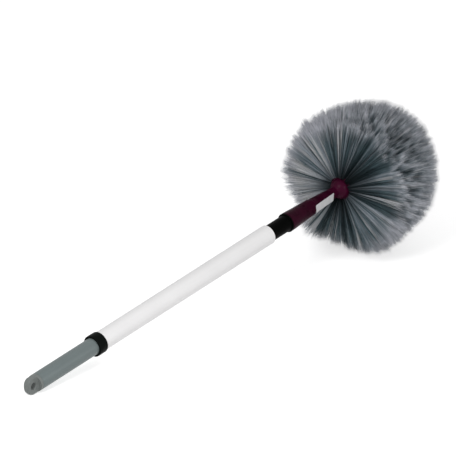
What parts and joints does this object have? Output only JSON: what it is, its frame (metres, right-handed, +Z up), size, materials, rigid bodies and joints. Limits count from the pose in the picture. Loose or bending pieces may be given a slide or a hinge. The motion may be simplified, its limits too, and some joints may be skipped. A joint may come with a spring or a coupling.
{
  "type": "radiator brush",
  "caption": "Telescopic twist-lock pole with a socket arm and a round bristle head that tilts on a knuckle, for dusting radiators and ceilings.",
  "frame": {"origin": "bottom centre of the bounding box, on the floor that the brush lies on", "axes": "+X runs along the pole to the bristle head (the pole rises to the head by about 8 degrees), +Y is sideways along the head's tilt axis, +Z is up"},
  "size_m": [0.7173, 0.1963, 0.1953],
  "materials": {
    "white_coat": "satin white coat",
    "grey_coat": "matte grey coat",
    "grey_plastic": "matte grey moulding",
    "black_plastic": "satin black moulding",
    "natural_nylon": "natural nylon moulding",
    "plum_plastic": "glossy plum moulding",
    "bright_steel": "bright zinc-plated steel",
    "bristle": "grey synthetic filament"
  },
  "bodies": {
    "outer_pole": {"outer_tube": "white_coat", "end_collar": "black_plastic", "tube_adaptor": "black_plastic", "socket_arm": "plum_plastic", "pivot_pin": "bright_steel"},
    "lock_carriage": {"lock_expander": "black_plastic"},
    "inner_pole": {"inner_tube": "grey_coat", "end_cap": "grey_plastic", "lock_plug": "natural_nylon", "lock_retainer": "natural_nylon", "retainer_screw": "bright_steel"},
    "brush_head": {"swivel_cup": "plum_plastic", "tuft_ring_1": "bristle", "tuft_ring_2": "bristle", "tuft_ring_3": "bristle", "tuft_ring_4": "bristle", "tuft_ring_5": "bristle", "tuft_ring_6": "bristle", "tuft_ring_7": "bristle", "tie_screw": "bright_steel"}
  },
  "joints": [
    {"name": "pole_slide", "type": "slide", "parent": "outer_pole", "child": "lock_carriage", "axis": [-0.9893, 0, -0.1458], "range_m": [-0.075, 0.15]},
    {"name": "lock_twist", "type": "hinge", "parent": "lock_carriage", "child": "inner_pole", "pos_m": [-0.05351, 0, 0.05466], "axis": [0.9893, 0, 0.1458], "range_deg": [0, 150]},
    {"name": "head_tilt", "type": "hinge", "parent": "outer_pole", "child": "brush_head", "pos_m": [0.22123, 0, 0.09515], "axis": [0, 1, 0], "range_deg": [-40, 40]}
  ]
}
